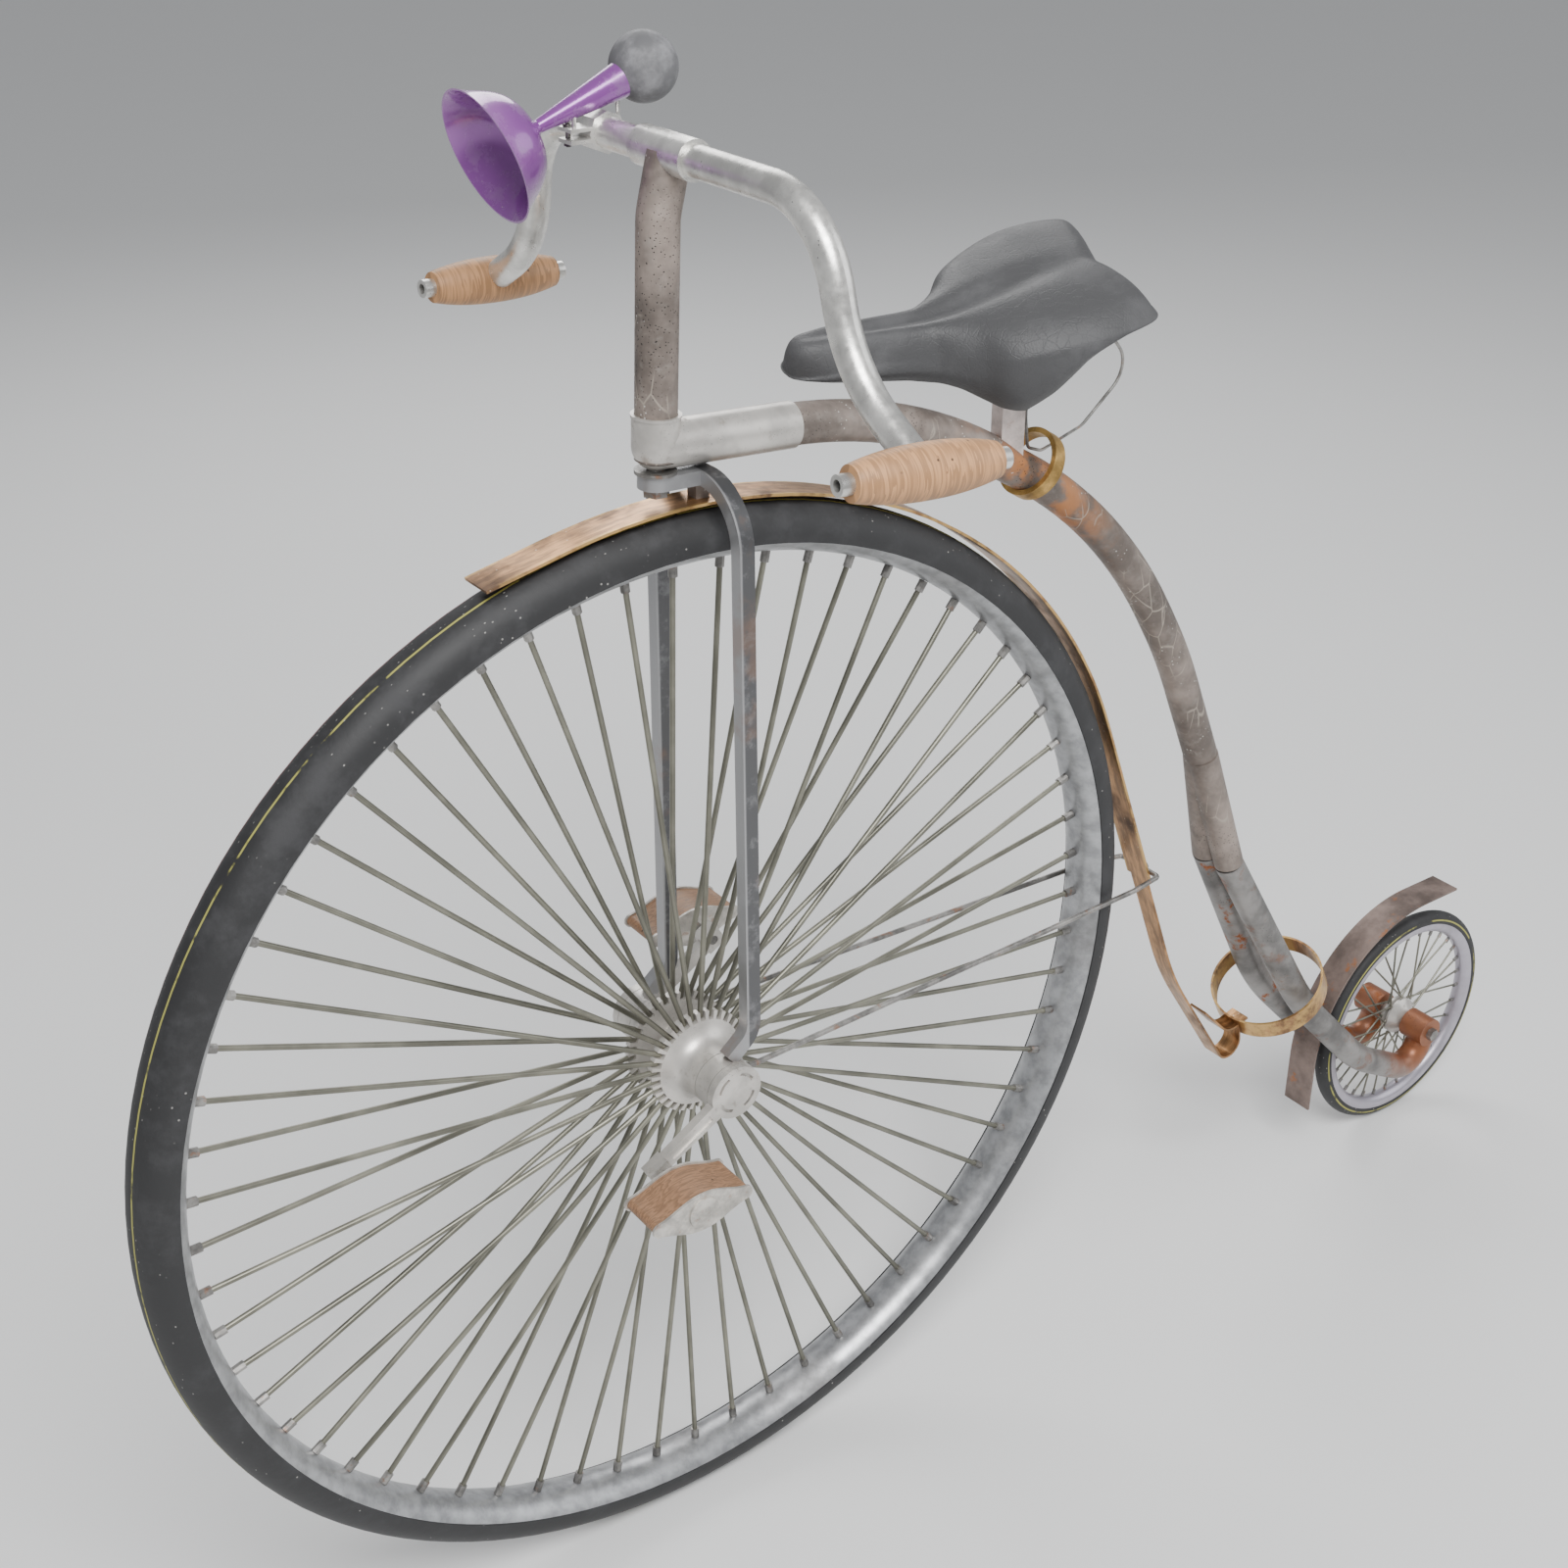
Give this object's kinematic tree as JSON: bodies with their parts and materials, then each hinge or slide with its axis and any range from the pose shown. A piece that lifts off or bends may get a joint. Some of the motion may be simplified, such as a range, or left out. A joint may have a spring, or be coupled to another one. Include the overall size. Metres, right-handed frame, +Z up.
{
  "type": "penny-farthing bicycle",
  "caption": "High-wheel bicycle with a directly pedalled front wheel, small trailing wheel, curved backbone, drop bars with wood grips, bulb horn and leather saddle.",
  "frame": {"origin": "on the ground under the middle of the bounding box, in the machine's mid plane", "axes": "+X forwards (the way it rolls), +Y to the rider's left, +Z up"},
  "size_m": [1.7499, 0.6494, 1.426],
  "materials": {
    "patina_tube": "worn brown-grey patina with rust",
    "pale_casting": "pale speckled casting",
    "dark_steel": "dark forged steel, edges rubbed bright",
    "rusty_leg": "grey paint with orange rust",
    "copper_strip": "tarnished copper with golden edges",
    "dull_strip": "brown-grey metal strip",
    "small_steel": "plain small steel parts",
    "bush_bronze": "plain bronze",
    "pale_post": "off-white paint",
    "nickel": "pale worn nickel plate",
    "purple_lacquer": "glossy purple lacquer",
    "bulb_rubber": "matt grey rubber",
    "turned_wood": "light turned wood with dark pits",
    "pedal_wood": "brown wood",
    "pedal_plate": "off-white plate",
    "saddle_leather": "dark grained leather",
    "spoke_steel": "olive-grey steel",
    "rim_grey": "satin grey",
    "tyre_rubber": "charcoal rubber with thin coloured lines"
  },
  "bodies": {
    "frame": {"head_lug": "pale_casting", "head_collar": "pale_casting", "backbone": "patina_tube", "backbone_crotch": "patina_tube", "leg_left": "rusty_leg", "leg_right": "rusty_leg", "rear_axle": "small_steel", "rear_axle_nuts": "small_steel", "rear_axle_spacers": "small_steel", "rear_mudguard": "dull_strip", "rear_mudguard_bar": "small_steel", "saddle_post": "pale_post", "saddle_plate": "small_steel", "saddle_cover": "saddle_leather", "saddle_spring_wire": "small_steel", "backbone_ring": "bush_bronze", "strap_loop": "copper_strip", "mudguard_tail": "copper_strip"},
    "steering": {"steering_stem": "patina_tube", "steering_spindle": "small_steel", "spindle_nut": "small_steel", "thrust_washer": "small_steel", "fork": "dark_steel", "axle_housings": "pale_casting", "axle_bushes": "bush_bronze", "handlebar": "nickel", "bar_sleeve": "nickel", "grip_left": "turned_wood", "grip_right": "turned_wood", "grip_tubes": "nickel", "horn_bell": "purple_lacquer", "horn_reed": "bush_bronze", "horn_bulb": "bulb_rubber", "horn_clamp": "nickel", "horn_clamp_screw": "small_steel", "horn_posts": "nickel", "front_mudguard": "copper_strip", "mudguard_block": "patina_tube", "mudguard_stays": "small_steel", "stay_bolt": "small_steel"},
    "front_wheel": {"front_axle": "small_steel", "front_hub_spool": "pale_casting", "front_flanges": "pale_casting", "front_spokes": "spoke_steel", "front_rim": "rim_grey", "front_tyre": "tyre_rubber", "crank_left": "pale_casting", "crank_right": "pale_casting", "crank_caps": "pale_casting", "crank_cotters": "small_steel", "pedal_pins": "small_steel", "pedal_nuts": "small_steel"},
    "left_pedal": {"pedal_body_left": "pedal_wood", "pedal_plates_left": "pedal_plate"},
    "right_pedal": {"pedal_body_right": "pedal_wood", "pedal_plates_right": "pedal_plate"},
    "rear_wheel": {"rear_hub": "pale_casting", "rear_spokes": "spoke_steel", "rear_rim": "rim_grey", "rear_tyre": "tyre_rubber"}
  },
  "joints": [
    {"name": "steering_turn", "type": "hinge", "parent": "frame", "child": "steering", "pos_m": [0.3537, 0, 1.1496], "axis": [-0.0443, 0, 0.999], "range_deg": [-12, 12]},
    {"name": "front_wheel_spin", "type": "hinge", "parent": "steering", "child": "front_wheel", "pos_m": [0.3416, 0, 0.5334], "axis": [0, 1, 0], "continuous": true},
    {"name": "left_pedal_spin", "type": "hinge", "parent": "front_wheel", "child": "left_pedal", "pos_m": [0.42647, 0.131, 0.4844], "axis": [0, 1, 0], "continuous": true},
    {"name": "right_pedal_spin", "type": "hinge", "parent": "front_wheel", "child": "right_pedal", "pos_m": [0.25673, -0.131, 0.5824], "axis": [0, 1, 0], "continuous": true},
    {"name": "rear_wheel_spin", "type": "hinge", "parent": "frame", "child": "rear_wheel", "pos_m": [-0.7309, 0, 0.1441], "axis": [0, 1, 0], "continuous": true}
  ]
}
